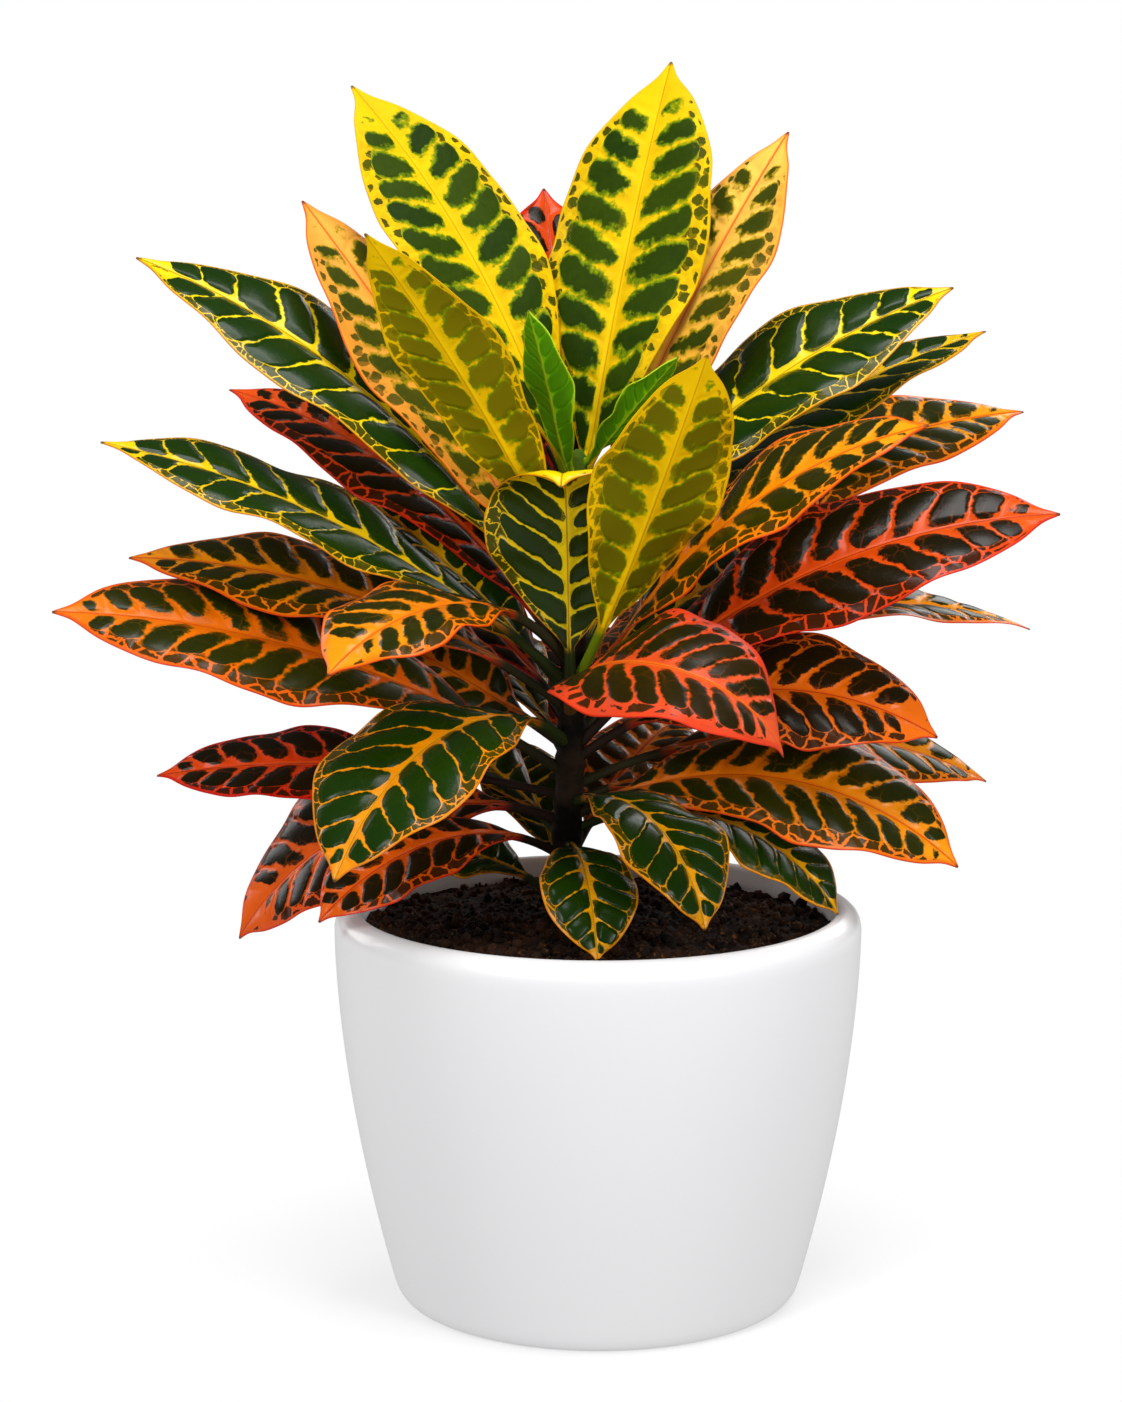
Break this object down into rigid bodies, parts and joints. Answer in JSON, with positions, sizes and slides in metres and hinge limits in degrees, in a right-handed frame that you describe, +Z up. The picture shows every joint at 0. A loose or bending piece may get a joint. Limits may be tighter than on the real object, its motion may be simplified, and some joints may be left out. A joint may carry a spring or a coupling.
{
  "type": "potted croton",
  "caption": "Croton house plant with broad waved leaves in yellow, green, orange and red on one woody stem, in a tapered white planter filled with soil.",
  "frame": {"origin": "centre of the planter's flat underside", "axes": "+Z up along the planter's axis, longest way of the object; -Y towards the viewer"},
  "size_m": [0.4101, 0.2722, 0.5145],
  "materials": {
    "planter": "gloss",
    "soil": "matte",
    "stem": "matte",
    "leaf_yellow": "gloss",
    "leaf_lime": "gloss",
    "leaf_peach": "gloss",
    "leaf_dark": "gloss",
    "leaf_orange": "gloss",
    "leaf_red": "gloss",
    "leaf_coral": "gloss"
  },
  "bodies": {
    "root": {"planter": "planter", "soil": "soil", "stem": "stem", "leaf_01": "leaf_yellow", "leaf_02": "leaf_yellow", "leaf_03": "leaf_peach", "leaf_04": "leaf_red", "leaf_05": "leaf_peach", "leaf_06": "leaf_yellow", "leaf_07": "leaf_dark", "leaf_08": "leaf_red", "leaf_09": "leaf_dark", "leaf_10": "leaf_orange", "leaf_11": "leaf_orange", "leaf_12": "leaf_orange", "leaf_13": "leaf_orange", "leaf_14": "leaf_red", "leaf_15": "leaf_dark", "leaf_16": "leaf_red", "leaf_17": "leaf_red", "leaf_18": "leaf_dark", "leaf_19": "leaf_yellow", "leaf_20": "leaf_lime", "leaf_21": "leaf_lime", "leaf_22": "leaf_dark", "leaf_23": "leaf_dark", "leaf_24": "leaf_orange", "leaf_25": "leaf_orange", "leaf_26": "leaf_red", "leaf_27": "leaf_orange", "leaf_28": "leaf_red", "leaf_29": "leaf_coral", "leaf_30": "leaf_orange", "leaf_31": "leaf_orange", "leaf_32": "leaf_orange", "leaf_33": "leaf_dark", "leaf_34": "leaf_dark", "leaf_35": "leaf_dark", "leaf_36": "leaf_dark", "leaf_37": "leaf_dark", "leaf_38": "leaf_dark", "leaf_39": "leaf_orange", "leaf_40": "leaf_red", "leaf_41": "leaf_orange", "leaf_42": "leaf_dark", "leaf_43": "leaf_red", "leaf_44": "leaf_dark", "leaf_45": "leaf_orange", "leaf_46": "leaf_dark", "leaf_47": "leaf_dark", "leaf_48": "leaf_dark", "leaf_49": "leaf_dark"}
  },
  "joints": []
}
